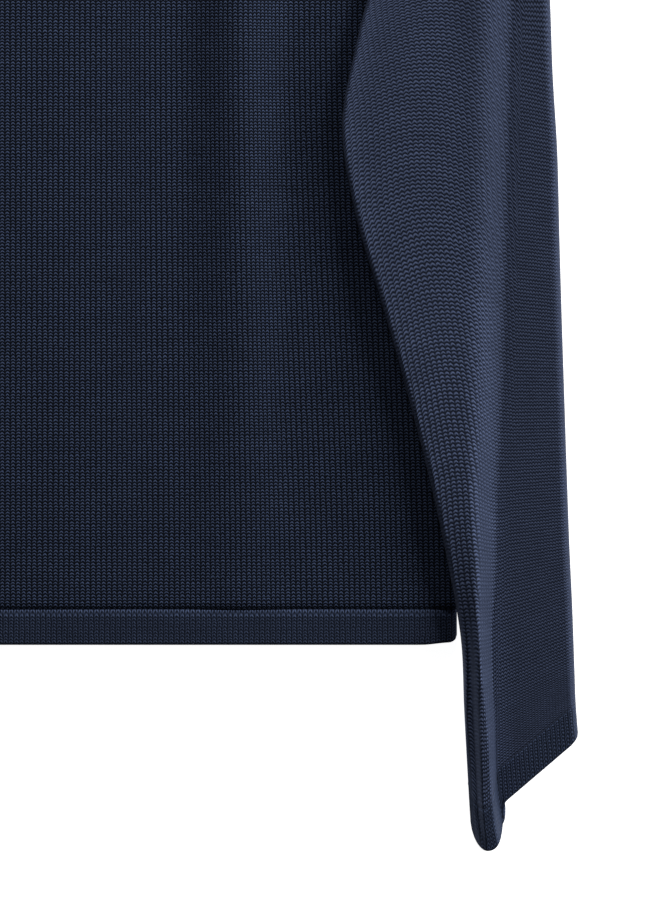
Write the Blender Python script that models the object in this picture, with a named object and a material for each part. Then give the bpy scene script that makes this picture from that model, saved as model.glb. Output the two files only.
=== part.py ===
# Turtleneck sweater, laid flat on its back with the sleeves folded down beside the body.
# Metres, +Z up, +Y towards the collar, +X towards the wearer's left sleeve.
# Inside the functions, lengths are millimetres and y is measured from the bottom edge of the hem.

import math

import bpy
from mathutils import Vector

MM = 0.001
SEAM = 0.3  # gap between two pieces that are sewn to each other
WALL = 2.0  # thickness of the knitted cloth

# Body, from the photo at 0.52 mm a pixel
HALF_CHEST = 245.0
HEM_HEIGHT = 18.0
ORIGIN_UP = 300.0  # the origin lies this far above the hem's edge, on the floor
SHOULDER_TIP = (209.0, 545.0)
NECK_POINT = (88.0, 585.0)
FRONT_NECK_DEPTH = 62.0
BACK_NECK_DEPTH = 14.0
NECK_STOPS = (0.0, 0.22, 0.44, 0.62, 0.78, 0.9, 1.0)  # the neckline's corners, as shares of its half width
SIDE_STOPS = [0.46, 0.5, 0.54, 0.58, 0.62, 0.66, 0.72, 0.8, 0.9, 0.96, 0.985, 1.0]  # the panels' other corners
CLOSE_ROWS = (0.02, 0.006, 0.0)  # the panels' last rows, as shares of their height below the shoulders
FRONT_LIES = 6.8  # height of the front's face where it lies on the back
EDGE_LIES = 2 * WALL + SEAM  # its height at a seam with the back
SIDE_ROLL = 16.0  # width of the soft rounding along the sides
BAND_PROUD = 0.4  # the hem band stands this much above the front
HEM_LIFT = 1.2  # the hem's edge curves up this much towards the side seams
HEM_LIFT_FROM, HEM_LIFT_OVER = 226.0, 16.0  # it does so from this far out, over this width
HEM_CORNER_LIFT, HEM_CORNER = 4.0, 4.5  # and its very corner is rounded by this much, over this width
HEM_SLIT_INSET = 1.4 * WALL  # the slit inside the band ends this far inside the corner

# Half width of the body, a row for each height of the outline
OUTLINE = [
    # y, half width
    (0.0, 245.0),
    (340.0, 245.0),
    (372.0, 240.0),
    (398.0, 226.0),
    (435.0, 212.0),
    (485.0, 206.0),
    (545.0, 209.0),
]

# Soft upright folds of the front, strongest at the chest and fading towards the hem
FOLDS = [
    # x, width on the left, width on the right, height, share left at the hem
    (0.0, 84.0, 84.0, 2.0, 0.1),
    (132.0, 30.0, 27.0, 6.4, 0.12),
    (-124.0, 26.0, 33.0, 5.4, 0.15),
]
FOLD_FULL_Y = 330.0  # full height from here up
FOLD_GONE_Y = 530.0  # flat again at the shoulders

# Left sleeve: a row for each section of its length, from the cuff's edge to the armhole.
# left: the fold over the body; crest: top of the raised fold; foot: where it meets the low part;
# right: outer edge; height: of the raised fold; arch: how far a course bows up between left and crest
SLEEVE = [
    # left x, left y, crest x, crest y, foot x, foot y, right x, right y, height, arch
    (251.8, -88.0, 260.8, -106.6, 269.2, -82.2, 308.4, -48.8, 21.0, 0.0),
    (250.6, -68.0, 258.6, -84.8, 266.2, -65.0, 307.0, -30.6, 22.0, 0.0),
    (248.8, -34.8, 258.0, -40.0, 266.8, -31.7, 306.3, -12.0, 22.5, 0.0),
    (247.0, 2.6, 256.9, 1.6, 267.3, 5.7, 305.2, 19.2, 23.0, 0.0),
    (240.4, 41.0, 256.9, 43.0, 271.4, 46.3, 303.7, 51.5, 22.5, 0.3),
    (231.2, 83.2, 255.8, 85.3, 273.0, 85.8, 302.4, 87.9, 22.0, 0.6),
    (219.2, 129.5, 254.8, 132.6, 274.5, 130.5, 301.0, 130.5, 21.5, 1.0),
    (206.8, 173.2, 255.8, 178.4, 275.4, 173.2, 299.7, 170.6, 21.0, 2.2),
    (192.4, 222.0, 256.9, 227.0, 276.4, 215.8, 298.5, 212.7, 21.0, 6.8),
    (185.1, 267.8, 257.9, 274.0, 277.4, 260.5, 297.4, 256.4, 21.0, 7.4),
    (191.6, 308.4, 259.0, 315.6, 278.2, 301.0, 295.0, 297.0, 20.5, 7.8),
    (200.0, 340.0, 262.0, 354.0, 279.5, 345.0, 293.0, 347.0, 19.5, 6.0),
    (210.5, 358.0, 262.0, 390.0, 277.0, 397.0, 288.0, 409.0, 18.0, 2.0),
    (219.0, 370.0, 253.0, 422.0, 265.0, 442.0, 273.5, 472.0, 16.0, 0.0),
    (224.0, 381.0, 235.0, 430.0, 239.0, 474.0, 243.0, 524.0, 14.0, 0.0),
    (219.0, 394.0, 210.0, 425.0, 202.6, 480.0, 207.0, 549.0, 12.4, 0.0),
]
CREST_SHARE = 0.95  # the crest is this much of the fold's height
LEFT_SHARES = (0.86, 1.08)  # and its left edge this much, at the cuff and where it is broad
BROAD_FROM, BROAD_OVER = 2.0, 3.0  # it is broad after this row, over this many
CUFF_ROW = 1.0  # the cuff's band ends, and the sleeve begins, at this row
CUFF_GAP = 0.8  # between them, measured along the slanted seam's outer edge
FOOT_HEIGHT = 7.6  # the low part of the sleeve lies on the floor
LEFT_ROLL = 8.0  # widths of the rounded edges
RIGHT_ROLL = 8.0
LEAST_SQUARE = 0.6  # a course that runs along the edge counts this share of its length as distance from it
LAP = 0.5  # the sleeve lies this far above the thickest of what is under it
TIP_ROWS, TIP_BULGE = 1.0, 0.8  # the tip at the cuff's edge is blunter than an ellipse by this much
BOW_TO, BOW_OVER = 11, 2  # up to this row the courses curve round at the left edge, and over this many before
DRAPE = 22.0  # width of the slope from the body's edge down to the floor
DRAPE_INSET = 4.0  # it starts this far inside that edge
BACK_TARGETS = (-12.0, -4.0, 0.0, 4.0, 8.0, 12.5, 18.5)  # its corners, in distance outside that edge
ARM_STOPS = (0.15, 0.3, 0.42, 0.54, 0.66, 0.8, 1.0, 2.4)  # its corners near the armhole
ARM_FROM, ARM_OVER = 11.5, 1.5  # these take over from this row on, over this many rows
INSIDE_GAP = 0.8  # least height of the hollow between the sleeve's two layers
# Corners of the sleeve's upper layer: 0 at the left edge, 1 at the crest, 2 at the foot, 3 at the right edge
UPPER_STOPS = (0.0, 0.03, 0.1, 0.22, 0.4, 0.6, 0.8, 1.0, 1.35, 1.6, 1.8, 1.93, 2.0, 2.3, 2.6, 2.8, 2.9, 2.97, 3.0)

# Collar: a tube folded over outwards at its top
COLLAR_HALF = 87.4
COLLAR_TOP = 657.0
COLLAR_LAP = 12.0  # the folded layer hangs this far over the front's neckline
COLLAR_SLIT = 0.3  # half of the gap inside the flattened tube


def clamp(value, low=0.0, high=1.0):
    return min(max(value, low), high)


def ease(t):
    """0 to 1 with a soft start and end."""
    t = clamp(t)
    return t * t * (3 - 2 * t)


def rounding(distance, radius):
    """Height share of a quarter round, at a distance in from its edge."""
    t = 1 - clamp(distance / radius)
    return math.sqrt(max(0.0, 1 - t * t))


def between(rows, at):
    """The rows of a table at a fractional row number, on a smooth curve through them."""
    i = int(clamp(math.floor(at), 0, len(rows) - 2))
    t = at - i
    p1, p2 = rows[i], rows[i + 1]
    p0 = rows[i - 1] if i else p1
    p3 = rows[i + 2] if i + 2 < len(rows) else p2
    h1 = 2 * t**3 - 3 * t**2 + 1
    h2 = t**3 - 2 * t**2 + t
    h4 = t**3 - t**2
    return [h1 * b + h2 * (c - a) / 2 + (1 - h1) * c + h4 * (d - b) / 2 for a, b, c, d in zip(p0, p1, p2, p3)]


def half_width(y):
    """The body's half width at height y, easing from one row of the outline to the next."""
    y = clamp(y, OUTLINE[0][0], OUTLINE[-1][0])
    for (y0, w0), (y1, w1) in zip(OUTLINE, OUTLINE[1:]):
        if y <= y1:
            return w0 + (w1 - w0) * (y - y0) / (y1 - y0)


def shoulder_line(x):
    """The top edge's height over the shoulders, for x outside the neck."""
    share = (abs(x) - NECK_POINT[0]) / (SHOULDER_TIP[0] - NECK_POINT[0])
    return NECK_POINT[1] + (SHOULDER_TIP[1] - NECK_POINT[1]) * clamp(share)


def scoop(x):
    """Depth share of the neckline at x: a half ellipse, straight between its stops."""
    share = min(abs(x) / NECK_POINT[0], 1.0)
    for a, b in zip(NECK_STOPS, NECK_STOPS[1:]):
        if share <= b:
            deep, shallow = math.sqrt(1 - a * a), math.sqrt(1 - b * b)
            return deep + (shallow - deep) * (share - a) / (b - a)


def top_edge(x, neck_depth):
    """The panel's top edge: shoulders, and a scoop for the neck."""
    if abs(x) >= NECK_POINT[0]:
        return shoulder_line(x)
    return NECK_POINT[1] - neck_depth * scoop(x)


def fold_height(x, y):
    """Height that the soft upright folds add to the front."""
    rise = ease(y / FOLD_FULL_Y) * (1 - ease((y - FOLD_FULL_Y) / (FOLD_GONE_Y - FOLD_FULL_Y)))
    total = 0.0
    for centre, left, right, height, at_hem in FOLDS:
        reach = left if x < centre else right
        shape = 1 - ease(abs(x - centre) / reach)
        total += height * shape * (at_hem + (1 - at_hem) * rise)
    return total


def front_height(x, y):
    """Height of the front's outer face over the floor."""
    side = rounding(half_width(y) - abs(x), SIDE_ROLL)
    up = shoulder_line(x) - y if abs(x) > NECK_POINT[0] else SIDE_ROLL
    top = rounding(up, SIDE_ROLL)
    top = top + (1 - top) * (1 - ease((abs(x) - NECK_POINT[0]) / SIDE_ROLL))
    return EDGE_LIES + (FRONT_LIES - EDGE_LIES + fold_height(x, y)) * side * top


def support(x, y):
    """Height of what the sleeve's back lies on: the body, sloping down to the floor beside it."""
    outside = abs(x) - half_width(y)
    slope = 1 - ease((outside + DRAPE_INSET) / DRAPE)
    return (FRONT_LIES + BAND_PROUD + LAP) * slope * (1 - ease(-y / DRAPE))


def finish_mesh(name, points, faces, colour, sharp_deg=50.0):
    """A solid from its points in millimetres above the hem, with its own knitted material."""
    mesh = bpy.data.meshes.new(name)
    mesh.from_pydata([(x * MM, (y - ORIGIN_UP) * MM, z * MM) for x, y, z in points], [], faces)
    mesh.update()
    mesh.shade_smooth()
    mesh.set_sharp_from_angle(angle=math.radians(sharp_deg))
    solid = bpy.data.objects.new(name, mesh)
    bpy.context.scene.collection.objects.link(solid)
    material = bpy.data.materials.new(name)
    material.use_nodes = True
    shader = material.node_tree.nodes["Principled BSDF"]
    shader.inputs["Base Color"].default_value = (*colour, 1.0)
    shader.inputs["Roughness"].default_value = 0.9
    shader.inputs["Metallic"].default_value = 0.0
    mesh.materials.append(material)
    return solid


def sheet_solid(name, columns, rows, place, colour):
    """A panel: an upper and a lower grid of points, joined round the rim.
    place(i, j) gives the upper and the lower point."""
    points, faces = [], []
    for j in range(rows + 1):
        for i in range(columns + 1):
            points.extend(place(i, j))

    def at(i, j, lower):
        return 2 * (j * (columns + 1) + i) + lower

    for j in range(rows):
        for i in range(columns):
            faces.append((at(i, j, 0), at(i + 1, j, 0), at(i + 1, j + 1, 0), at(i, j + 1, 0)))
            faces.append((at(i, j, 1), at(i, j + 1, 1), at(i + 1, j + 1, 1), at(i + 1, j, 1)))
    rim = [(i, 0) for i in range(columns)] + [(columns, j) for j in range(rows)]
    rim += [(i, rows) for i in range(columns, 0, -1)] + [(0, j) for j in range(rows, 0, -1)]
    for (i0, j0), (i1, j1) in zip(rim, rim[1:] + rim[:1]):
        faces.append((at(i0, j0, 0), at(i0, j0, 1), at(i1, j1, 1), at(i1, j1, 0)))
    return finish_mesh(name, points, faces, colour)


def tube_solid(name, rings, colour):
    """A tube: rings of (outer points, inner points), joined along and at both ends."""
    points, faces = [], []
    count = len(rings[0][0])
    for outer, inner in rings:
        points += outer + inner

    def at(ring, k, inner):
        return ring * 2 * count + inner * count + k % count

    for ring in range(len(rings) - 1):
        for k in range(count):
            faces.append((at(ring, k, 0), at(ring, k + 1, 0), at(ring + 1, k + 1, 0), at(ring + 1, k, 0)))
            faces.append((at(ring, k, 1), at(ring + 1, k, 1), at(ring + 1, k + 1, 1), at(ring, k + 1, 1)))
    last = len(rings) - 1
    for k in range(count):
        faces.append((at(0, k, 0), at(0, k, 1), at(0, k + 1, 1), at(0, k + 1, 0)))
        faces.append((at(last, k, 0), at(last, k + 1, 0), at(last, k + 1, 1), at(last, k, 1)))
    return finish_mesh(name, points, faces, colour)


def panel_columns():
    """Shares of the half width at which the panels have points: close at folds, neck and edges."""
    neck = NECK_POINT[0] / SHOULDER_TIP[0]
    right = [neck * stop for stop in NECK_STOPS]
    right += SIDE_STOPS
    return [-share for share in right[:0:-1]] + right


def panel_rows(count, start, end):
    """Even rows, with a few closer ones at the top for the shoulders' rounding."""
    even = [start + (end - start) * j / count for j in range(count + 1)]
    return even[:-1] + [end - close for close in CLOSE_ROWS]


def panel(name, columns, row_shares, neck_depth, height, colour):
    """A body panel over the outline, from the hem band's top to the shoulders and neckline."""
    bottom = HEM_HEIGHT + SEAM

    def place(i, j):
        share = columns[i]
        wide = share * SHOULDER_TIP[0]
        y = bottom + (top_edge(wide, neck_depth) - bottom) * row_shares[j]
        x = share * half_width(y)
        upper = height(x, y)
        return [(x, y, upper), (x, y, upper - WALL)]

    return sheet_solid(name, len(columns) - 1, len(row_shares) - 1, place, colour)


def hem_band(colour):
    """The hem's band: a flattened tube with a thin slit, its bottom edge curving up at the sides."""
    across = [-1.0, -0.99, -0.96, -0.92, -0.85, -0.7, -0.5, -0.25, 0.0, 0.25, 0.5, 0.7, 0.85, 0.92, 0.96, 0.99, 1.0]
    rings = []
    for level in (0.0, 0.12, 0.55, 1.0):
        outer, inner = [], []
        for upper in (True, False):
            for share in across if not upper else across[::-1]:
                if abs(share) == 1.0 and not upper:
                    continue
                x = share * HALF_CHEST
                lift = HEM_LIFT * ease((abs(x) - HEM_LIFT_FROM) / HEM_LIFT_OVER)
                lift += HEM_CORNER_LIFT * (1 - rounding(HALF_CHEST - abs(x), HEM_CORNER))
                y = HEM_HEIGHT * level + lift * (1 - level)
                top = (FRONT_LIES + BAND_PROUD) * rounding(HALF_CHEST - abs(x) + 0.4, SIDE_ROLL)
                x_in = share * (HALF_CHEST - HEM_SLIT_INSET)
                top_in = (FRONT_LIES + BAND_PROUD) * rounding(HALF_CHEST - abs(x_in), SIDE_ROLL) - WALL
                outer.append((x, y, top if upper else 0.0))
                low_in = WALL if not upper else max(top_in, WALL + SEAM)
                inner.append((x_in, y, low_in))
        rings.append((outer, inner))
    return tube_solid("hem_band", rings[::-1], colour)


class Section:
    """One course of the sleeve: its run in plan from the left edge to the right, and its heights."""

    def __init__(self, row, side, softness):
        self.row = row
        values = between(SLEEVE, row)
        self.left, self.crest = values[0:2], values[2:4]
        self.foot, self.right = values[4:6], values[6:8]
        self.height, self.arch = values[8] * softness, values[9]
        self.round = clamp((BOW_TO - row) / BOW_OVER)
        self.side, self.softness = side, softness
        run = math.dist(self.left, self.crest)
        self.square = max(abs(self.crest[0] - self.left[0]) / run, LEAST_SQUARE)

    def plan(self, q):
        """Place in plan: q runs 0 to 1 to the crest, 1 to 2 to the foot, 2 to 3 to the right edge."""
        if q <= 1:
            x = self.left[0] + (self.crest[0] - self.left[0]) * q
            rise = (self.crest[1] - self.left[1]) * (q + (rounding(q, 1.0) - q) * self.round)
            return x, self.left[1] + rise + self.arch * 4 * q * (1 - q)
        if q <= 2:
            blunt = 1 + TIP_BULGE * (1 - ease(self.row / TIP_ROWS))
            x = self.crest[0] + (self.foot[0] - self.crest[0]) * (1 - (2 - q) ** blunt)
            return x, self.crest[1] + (self.foot[1] - self.crest[1]) * self.fall(q - 1)
        x = self.foot[0] + (self.right[0] - self.foot[0]) * (q - 2)
        y = self.foot[1] + (self.right[1] - self.foot[1]) * (q - 2)
        return x, y

    @staticmethod
    def fall(t, steep=0.9):
        """0 at the crest to 1 at the foot, ever steeper on the way."""
        return (1 - math.sqrt(1 - steep * t * t)) / (1 - math.sqrt(1 - steep))

    def top(self, q):
        """Height of the upper layer over the floor, without the rounded edges."""
        crest = self.height * CREST_SHARE
        low = min(FOOT_HEIGHT, crest)
        if q <= 1:
            broad = ease((self.row - BROAD_FROM) / BROAD_OVER)
            left = self.height * (LEFT_SHARES[0] + (LEFT_SHARES[1] - LEFT_SHARES[0]) * broad)
            return left + (crest - left) * ease(q)
        return crest + (low - crest) * self.fall(min(q - 1, 1))

    def outer(self, q):
        """The upper layer's outer point and the lower layer's outer point at q."""
        x, y = self.plan(q)
        under = support(x, y)
        from_left = math.dist((x, y), self.left) * self.square
        from_right = math.dist((x, y), self.right)
        edge = rounding(from_left, LEFT_ROLL) * rounding(from_right, RIGHT_ROLL)
        least = under + 2 * WALL + 2 * INSIDE_GAP
        upper = under + (max(self.top(q), least) - under) * edge
        return (x, y, upper), (x, y, under)

    def back_stops(self):
        """Stops of the lower layer, left to right: close where it slopes down beside the body."""
        fine = [0.05 + 0.025 * k for k in range(113)]
        stops = []
        for target in BACK_TARGETS:
            for q in fine:
                x, y = self.plan(q)
                if x - half_width(y) >= target:
                    break
            stops.append(q)
        stops.append(2.5)
        apart = 0.04
        for k in range(1, len(stops)):
            stops[k] = max(stops[k], stops[k - 1] + apart)
        for k in range(len(stops)):
            stops[k] = min(stops[k], 2.92 - apart * (len(stops) - 1 - k))
        share = ease((self.row - ARM_FROM) / ARM_OVER)
        return [stop + (arm - stop) * share for stop, arm in zip(stops, ARM_STOPS)]

    def inner(self, q):
        """The wall's inner point under the upper layer's outer point at q, square to the face."""
        step = 0.02
        place = Vector(self.outer(q)[0])
        along = Vector(self.outer(clamp(q + step, 0, 3))[0]) - Vector(self.outer(clamp(q - step, 0, 3))[0])
        before = Section(self.row - step, self.side, self.softness)
        after = Section(self.row + step, self.side, self.softness)
        square = along.cross(Vector(after.outer(q)[0]) - Vector(before.outer(q)[0])).normalized()
        x, y, z = place - square * WALL
        return x, y, max(z, support(x, y) + WALL + INSIDE_GAP)

    def ring(self, stops):
        """Outer and inner points round the tube: right to left above, then left to right below."""
        outer = [self.outer(q)[0] for q in stops]
        inner = [self.inner(q) for q in stops]
        reach = WALL + INSIDE_GAP
        near = reach / max(abs(self.crest[0] - self.left[0]), math.dist(self.left, self.crest) / 2)
        far = reach / max(abs(self.right[0] - self.foot[0]), math.dist(self.foot, self.right) / 2)
        for q in self.back_stops():
            outer.append(self.outer(q)[1])
            x, y, under = self.outer(clamp(q, near, 3 - far))[1]
            inner.append((x, y, under + WALL))
        outer = [(self.side * x, y, z) for x, y, z in outer]
        inner = [(self.side * x, y, z) for x, y, z in inner]
        if self.side < 0:
            outer, inner = outer[::-1], inner[::-1]
        return outer, inner


def sleeve_part(name, rows, side, softness, colour):
    """A stretch of the sleeve's tube, through its sections at the given rows of the table."""
    rings = [Section(row, side, softness).ring(UPPER_STOPS[::-1]) for row in rows]
    return tube_solid(name, rings[::-1], colour)


def collar(colour):
    """The collar: a flattened tube whose wall goes up, turns outwards and comes down again."""
    layer_1 = COLLAR_SLIT
    layer_2 = layer_1 + WALL
    layer_3 = layer_2 + SEAM
    layer_4 = layer_3 + WALL
    run = COLLAR_HALF - layer_4
    turn = (layer_1 + layer_4) / 2
    bend = turn - layer_1
    profile = [("neck", layer_1), ("top", layer_1, 0.0)]
    profile += [("top", turn - bend * math.cos(a), bend * math.sin(a)) for a in (0.8, math.pi / 2, math.pi - 0.8)]
    profile += [("top", layer_4, 0.0), ("mid", layer_4), ("lap", layer_4), ("lap", layer_3), ("mid", layer_3)]
    profile += [("top", layer_3, 0.0), ("top", layer_2, 0.0), ("neck", layer_2)]
    around = []
    right = [NECK_POINT[0] * stop for stop in NECK_STOPS[:-2]]
    straight = [-x for x in right[:0:-1]] + right
    around += [(x, 0.0, 1.0) for x in straight[::-1]]
    around += [(-run, -math.cos(a), math.sin(a)) for a in (math.pi / 2, 0.8, 0.0, -0.8, -math.pi / 2)]
    around += [(x, 0.0, -1.0) for x in straight]
    around += [(run, math.cos(a), math.sin(a)) for a in (-math.pi / 2, -0.8, 0.0, 0.8, math.pi / 2)]
    points, faces = [], []
    for base, out, up in around:
        for kind, layer, *rise in profile:
            x = base + out * layer
            depth = FRONT_NECK_DEPTH if up > 0 else BACK_NECK_DEPTH
            inside = scoop(x)
            neckline = NECK_POINT[1] + SEAM - depth * inside * abs(up)
            lap = neckline - COLLAR_LAP * inside**2 * clamp(3 * up - 2)
            top = COLLAR_TOP - bend + 3.0 * abs(base / run) ** 3
            y = {"neck": neckline, "lap": lap, "mid": (lap + top) / 2, "top": top + (rise[0] if rise else 0.0)}[kind]
            points.append((x, y, layer_4 + up * layer))
    size, turns = len(profile), len(around)
    for k in range(turns):
        for p in range(size):
            a, b = k * size + p, k * size + (p + 1) % size
            c, d = ((k + 1) % turns) * size + (p + 1) % size, ((k + 1) % turns) * size + p
            faces.append((a, d, c, b))
    return finish_mesh("collar", points, faces, colour)


def main():
    for old in list(bpy.data.objects):
        bpy.data.objects.remove(old)
    navy = (0.0140, 0.0205, 0.0415)
    band_navy = (0.0165, 0.0235, 0.0450)
    sleeve_navy = (0.0190, 0.0260, 0.0500)

    panel("body_front", panel_columns(), panel_rows(15, 0.0, 1.0), FRONT_NECK_DEPTH, front_height, navy)
    neck = NECK_POINT[0] / SHOULDER_TIP[0] + 0.001
    plain = [share for k, share in enumerate(panel_columns()) if k % 2 == 0 or not neck < abs(share) < 0.9]
    panel("body_back", plain, panel_rows(8, 0.0, 1.0), BACK_NECK_DEPTH, lambda x, y: WALL, navy)
    hem_band(band_navy)

    last = len(SLEEVE) - 1
    cuff_rows = [0.0, 0.3, 0.65, CUFF_ROW - CUFF_GAP / math.dist(SLEEVE[0][6:8], SLEEVE[1][6:8])]
    count = 24
    sleeve_rows = [CUFF_ROW + (last - CUFF_ROW) * k / count for k in range(count + 1)]
    for name, side, softness in (("left", 1, 1.0), ("right", -1, 0.94)):
        sleeve_part(f"sleeve_{name}", sleeve_rows, side, softness, sleeve_navy)
        sleeve_part(f"cuff_{name}", cuff_rows, side, softness, band_navy)
    collar(band_navy)


main()
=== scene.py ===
# %% [markdown]
# # A turtleneck sweater, laid flat
# The sweater lies on its back with its sleeves folded down beside the body. Its solids are loaded first, as a
# fixed frame. Every piece of cloth made below has the form of one of them, with finer folds and a knitted
# finish.

# %% Load the frame
import math

import bpy
import numpy as np
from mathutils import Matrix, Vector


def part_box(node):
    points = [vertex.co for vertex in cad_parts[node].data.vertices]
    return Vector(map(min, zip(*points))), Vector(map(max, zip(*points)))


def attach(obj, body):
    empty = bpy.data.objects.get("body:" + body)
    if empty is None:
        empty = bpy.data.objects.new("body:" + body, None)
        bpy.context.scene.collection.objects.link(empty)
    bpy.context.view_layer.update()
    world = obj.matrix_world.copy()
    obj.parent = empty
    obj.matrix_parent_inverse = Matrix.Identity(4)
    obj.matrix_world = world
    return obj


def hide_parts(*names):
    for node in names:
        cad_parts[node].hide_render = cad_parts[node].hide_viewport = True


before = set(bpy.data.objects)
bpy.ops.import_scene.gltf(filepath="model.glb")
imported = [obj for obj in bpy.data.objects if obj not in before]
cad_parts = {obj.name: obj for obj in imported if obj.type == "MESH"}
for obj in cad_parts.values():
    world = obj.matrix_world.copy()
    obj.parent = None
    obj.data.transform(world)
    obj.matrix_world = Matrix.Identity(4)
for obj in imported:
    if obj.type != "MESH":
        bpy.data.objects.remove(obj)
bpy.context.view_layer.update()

print("solids:", ", ".join(sorted(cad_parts)))

# %% [markdown]
# The photo is a close-up of one corner, taken from straight above. A long lens far away keeps the picture's
# scale the same at every height. One pixel is 0.52 mm of cloth, and the hem's bottom edge and the middle of
# the body give the picture its place over the sweater.

# %% Camera
MM = 0.001
PHOTO_WIDE, PHOTO_HIGH = 672, 897
PIXEL = 0.52 * MM
MIDDLE_COLUMN = -14  # the photo column of the body's middle
HEM_ROW = 645  # the photo row of the hem's bottom edge
HEM_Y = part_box("hem_band")[0].y
CAMERA_HIGH = 4.0
CLOTH_HIGH = 9 * MM  # the height at which the scale is exact

camera_data = bpy.data.cameras.new("camera")
camera = bpy.data.objects.new("camera", camera_data)
bpy.context.scene.collection.objects.link(camera)
camera.location = ((PHOTO_WIDE / 2 - MIDDLE_COLUMN) * PIXEL, HEM_Y + (HEM_ROW - PHOTO_HIGH / 2) * PIXEL,
                   CAMERA_HIGH + CLOTH_HIGH)
camera_data.sensor_width = 36
camera_data.lens = camera_data.sensor_width * CAMERA_HIGH / (PHOTO_HIGH * PIXEL)
camera_data.clip_end = 20
bpy.context.scene.camera = camera
print("lens", round(camera_data.lens), "mm")

# %% [markdown]
# Materials are node trees. Written as plain sums they are easier to read, so a small class holds one socket
# and turns each operator into a Math node. Every other node is made by its method node().


# %% A wire that can be summed
class Wire:
    """One output socket of a material's node tree."""

    def __init__(self, tree, socket=None):
        self.tree, self.socket = tree, socket

    def node(self, kind, settings=None, inputs=None, output=0):
        """Adds a node: its settings are set first, then the values or wires of its sockets."""
        made = self.tree.nodes.new(kind)
        for name, value in (settings or {}).items():
            setattr(made, name, value)
        for name, value in (inputs or {}).items():
            if isinstance(value, Wire):
                self.tree.links.new(value.socket, made.inputs[name])
            else:
                made.inputs[name].default_value = value
        return Wire(self.tree, made.outputs[output])

    def math(self, operation, *others):
        return self.node("ShaderNodeMath", {"operation": operation}, dict(enumerate((self, *others))))

    def __add__(self, other):
        return self.math("ADD", other)

    def __mul__(self, other):
        return self.math("MULTIPLY", other)

    def __sub__(self, other):
        return self.math("SUBTRACT", other)

    def __pow__(self, other):
        return self.math("POWER", other)

    def __rsub__(self, other):
        return self * -1.0 + other

    __radd__, __rmul__ = __add__, __mul__

    def smooth(self, low, high):
        """0 below low, 1 above high, and a soft step between."""
        return self.node("ShaderNodeMapRange", {"interpolation_type": "SMOOTHSTEP"},
                         {"Value": self, "From Min": low, "From Max": high})

    def noise(self, scale, detail, roughness=0.5, output=0):
        """A flat noise over this wire's places."""
        return self.node("ShaderNodeTexNoise", {"noise_dimensions": "2D"},
                         {"Vector": self, "Scale": scale, "Detail": detail, "Roughness": roughness}, output)

    def swing(self, share):
        """A noise of 0 to 1 as a factor that goes half the share above and below 1."""
        return self * share + (1.0 - share / 2)


def new_material(name, roughness=0.9):
    """A material with a Principled shader; gives the material, its shader node and a wire to start from."""
    material = bpy.data.materials.new(name)
    material.use_nodes = True
    shader = material.node_tree.nodes["Principled BSDF"]
    shader.inputs["Roughness"].default_value = roughness
    return material, shader, Wire(material.node_tree)


# %% [markdown]
# Plain knitting shows one side: upright columns of small arches, called wales, and level rows of them, called
# courses. Each piece carries a UV map counted in stitches, so one wale is 1 wide and one course is 1 high. A
# strand is painted bright along its top, a painted highlight, and painted dark beside it and in the gaps
# between the wales, a painted shade. It climbs from the gap between two wales to the middle of its own wale
# and falls again, so its row is a line of arches. The same height feeds a Bump node.

# %% Knitted cloth
STITCH_MAP = "Stitches"
NAVY = (0.0151, 0.0215, 0.0408)
# the sleeves are painted lighter than the body, for the light their raised fold catches; the yarn is the same
LIT_SLEEVE_NAVY = (0.0186, 0.0246, 0.0448)
BAND_NAVY = (0.0165, 0.0230, 0.0430)
MEAN_TONE = 0.22  # mean of the pattern's tone, from 0 between the strands to 1 along their tops
# a noise is given by its scale, detail and roughness, over a map that is counted in stitches
WANDER_NOISE = (0.55, 1.0, 0.6)
WANDER, WANDER_ALONG = 0.3, 1.5  # stitches wander by this much across, and this many times as much along
ARCH_SHARP = 1.5  # how late an arch turns down on its way to the gap between two wales
GULLY = (0.42, 0.96)  # that gap begins and is full at these distances from the wale's middle
GULLY_LOW = 0.6  # it lowers a strand by this share
# how narrow a stitch's two legs are, and how much of their tone comes from the strand's height or stays
LEG_SHARP, LEG_SWING, LEG_LEAST = 1.5, 0.5, 0.35
# loose fibres, large patches and lengths of yarn each change the tone by their swing
FUZZ_NOISE, FUZZ_SWING, FUZZ_HIGH = (2.3, 3.0, 0.7), 0.7, 0.25
PATCH_NOISE, PATCH_SWING = (0.13, 2.0), 0.3
YARN_NOISE, YARN_SWING = (0.9, 1.0), 0.3
YARN_DRAWN = 0.12  # the yarn's noise is drawn out along the courses
STEEP = (0.03, 0.55)  # from level to steep cloth, as 1 less the upright part of its normal
STEEP_EVENS = 0.85  # the pattern fades by this share where cloth stands steep
PAINTED_SHEEN = 0.7  # painted sheen: cloth that stands steep is painted this share brighter, for the light its fibres catch there
SEAM_ROW_FROM, SEAM_ROW_TO = (-0.85, -0.65), (2.0, 3.0)  # courses
SEAM_SHADOW_TO = (0.1, 1.0)  # courses over which the painted shadow above a seam fades away
LOW_COURSES, BROAD_WALES = (95.0, 150.0), (-31.0, -24.0)  # where the lower half of the broad strip ends
FLOOR_WALES = (-27.0, -19.0)  # where the sleeve's part on the floor begins
GAP_MAKES_UP = 0.16  # where low_gap is at work, flat strands are painted this much brighter, and steep ones darker to temper the painted sheen
MAKES_UP_TURNS = 1.8  # by so much the change falls, and turns, from level cloth to steep cloth
BUMP_HIGH, BUMP_STRENGTH = 0.45 * MM, 0.5
CLOTH_FINISH = {
    "Sheen Weight": 0.05,
    "Sheen Roughness": 0.45,
    "Sheen Tint": (0.55, 0.62, 0.85, 1.0),
    "Specular IOR Level": 0.08,
}


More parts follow.
